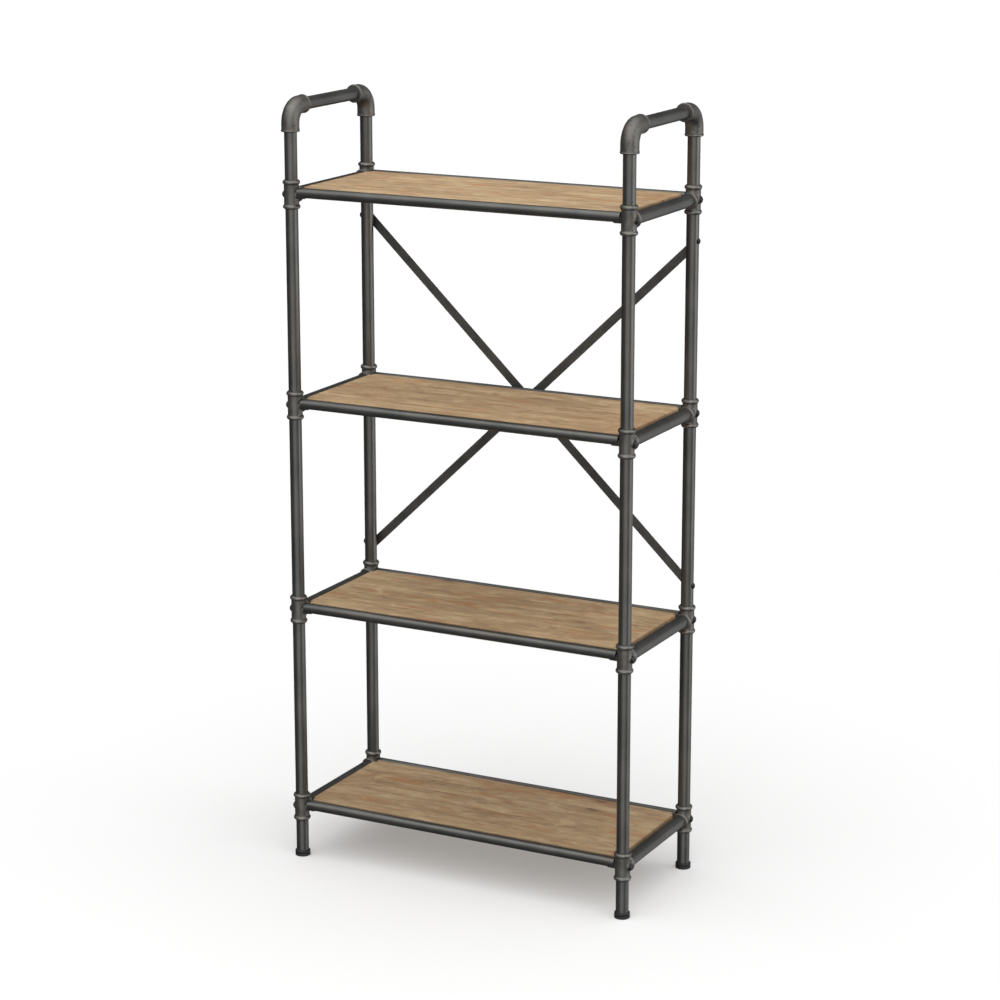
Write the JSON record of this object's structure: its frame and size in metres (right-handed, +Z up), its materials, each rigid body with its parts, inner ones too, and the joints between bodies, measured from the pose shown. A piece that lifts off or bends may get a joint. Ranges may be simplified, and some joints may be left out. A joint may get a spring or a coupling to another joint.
{
  "type": "bookcase",
  "caption": "Open pipe-frame bookcase with wooden shelves, cast-look tees and elbows, handle bars at both sides, crossed rear brace bars and levelling feet.",
  "frame": {"origin": "on the floor, at the middle of the plan between the four uprights", "axes": "+Z up, +X to the right, the front faces -Y"},
  "size_m": [0.7704, 0.3336, 1.5708],
  "materials": {
    "pipe": "dark grey satin lacquer",
    "fitting": "brown-grey cast look, satin",
    "brace": "dark grey satin lacquer",
    "board": "weathered light brown wood, matt",
    "bolt": "black",
    "foot": "black",
    "hardware": "zinc plated"
  },
  "bodies": {
    "frame": {"upright_front_left": "pipe", "elbow_front_left": "fitting", "tee_bottom_front_left": "fitting", "tee_lower_front_left": "fitting", "tee_upper_front_left": "fitting", "tee_top_front_left": "fitting", "upright_front_right": "pipe", "elbow_front_right": "fitting", "tee_bottom_front_right": "fitting", "tee_lower_front_right": "fitting", "tee_upper_front_right": "fitting", "tee_top_front_right": "fitting", "upright_rear_left": "pipe", "elbow_rear_left": "fitting", "tee_bottom_rear_left": "fitting", "tee_lower_rear_left": "fitting", "tee_upper_rear_left": "fitting", "tee_top_rear_left": "fitting", "upright_rear_right": "pipe", "elbow_rear_right": "fitting", "tee_bottom_rear_right": "fitting", "tee_lower_rear_right": "fitting", "tee_upper_rear_right": "fitting", "tee_top_rear_right": "fitting", "handle_bar_left": "pipe", "side_rail_bottom_left": "pipe", "side_rail_lower_left": "pipe", "side_rail_upper_left": "pipe", "side_rail_top_left": "pipe", "handle_bar_right": "pipe", "side_rail_bottom_right": "pipe", "side_rail_lower_right": "pipe", "side_rail_upper_right": "pipe", "side_rail_top_right": "pipe", "rail_bottom_front": "pipe", "rail_bottom_rear": "pipe", "board_bottom": "board", "rail_lower_front": "pipe", "rail_lower_rear": "pipe", "board_lower": "board", "rail_upper_front": "pipe", "rail_upper_rear": "pipe", "board_upper": "board", "rail_top_front": "pipe", "rail_top_rear": "pipe", "board_top": "board", "brace_falling": "brace", "brace_rising": "brace", "shelf_bolts": "bolt", "brace_bolts": "bolt", "board_screws": "hardware", "foot_inserts": "hardware"},
    "levelling_foot_front_left": {"foot_front_left": "foot", "stud_front_left": "hardware"},
    "levelling_foot_front_right": {"foot_front_right": "foot", "stud_front_right": "hardware"},
    "levelling_foot_rear_left": {"foot_rear_left": "foot", "stud_rear_left": "hardware"},
    "levelling_foot_rear_right": {"foot_rear_right": "foot", "stud_rear_right": "hardware"}
  },
  "joints": [
    {"name": "level_front_left", "type": "slide", "parent": "frame", "child": "levelling_foot_front_left", "axis": [0, 0, -1], "range_m": [0, 0.01]},
    {"name": "level_front_right", "type": "slide", "parent": "frame", "child": "levelling_foot_front_right", "axis": [0, 0, -1], "range_m": [0, 0.01]},
    {"name": "level_rear_left", "type": "slide", "parent": "frame", "child": "levelling_foot_rear_left", "axis": [0, 0, -1], "range_m": [0, 0.01]},
    {"name": "level_rear_right", "type": "slide", "parent": "frame", "child": "levelling_foot_rear_right", "axis": [0, 0, -1], "range_m": [0, 0.01]}
  ]
}
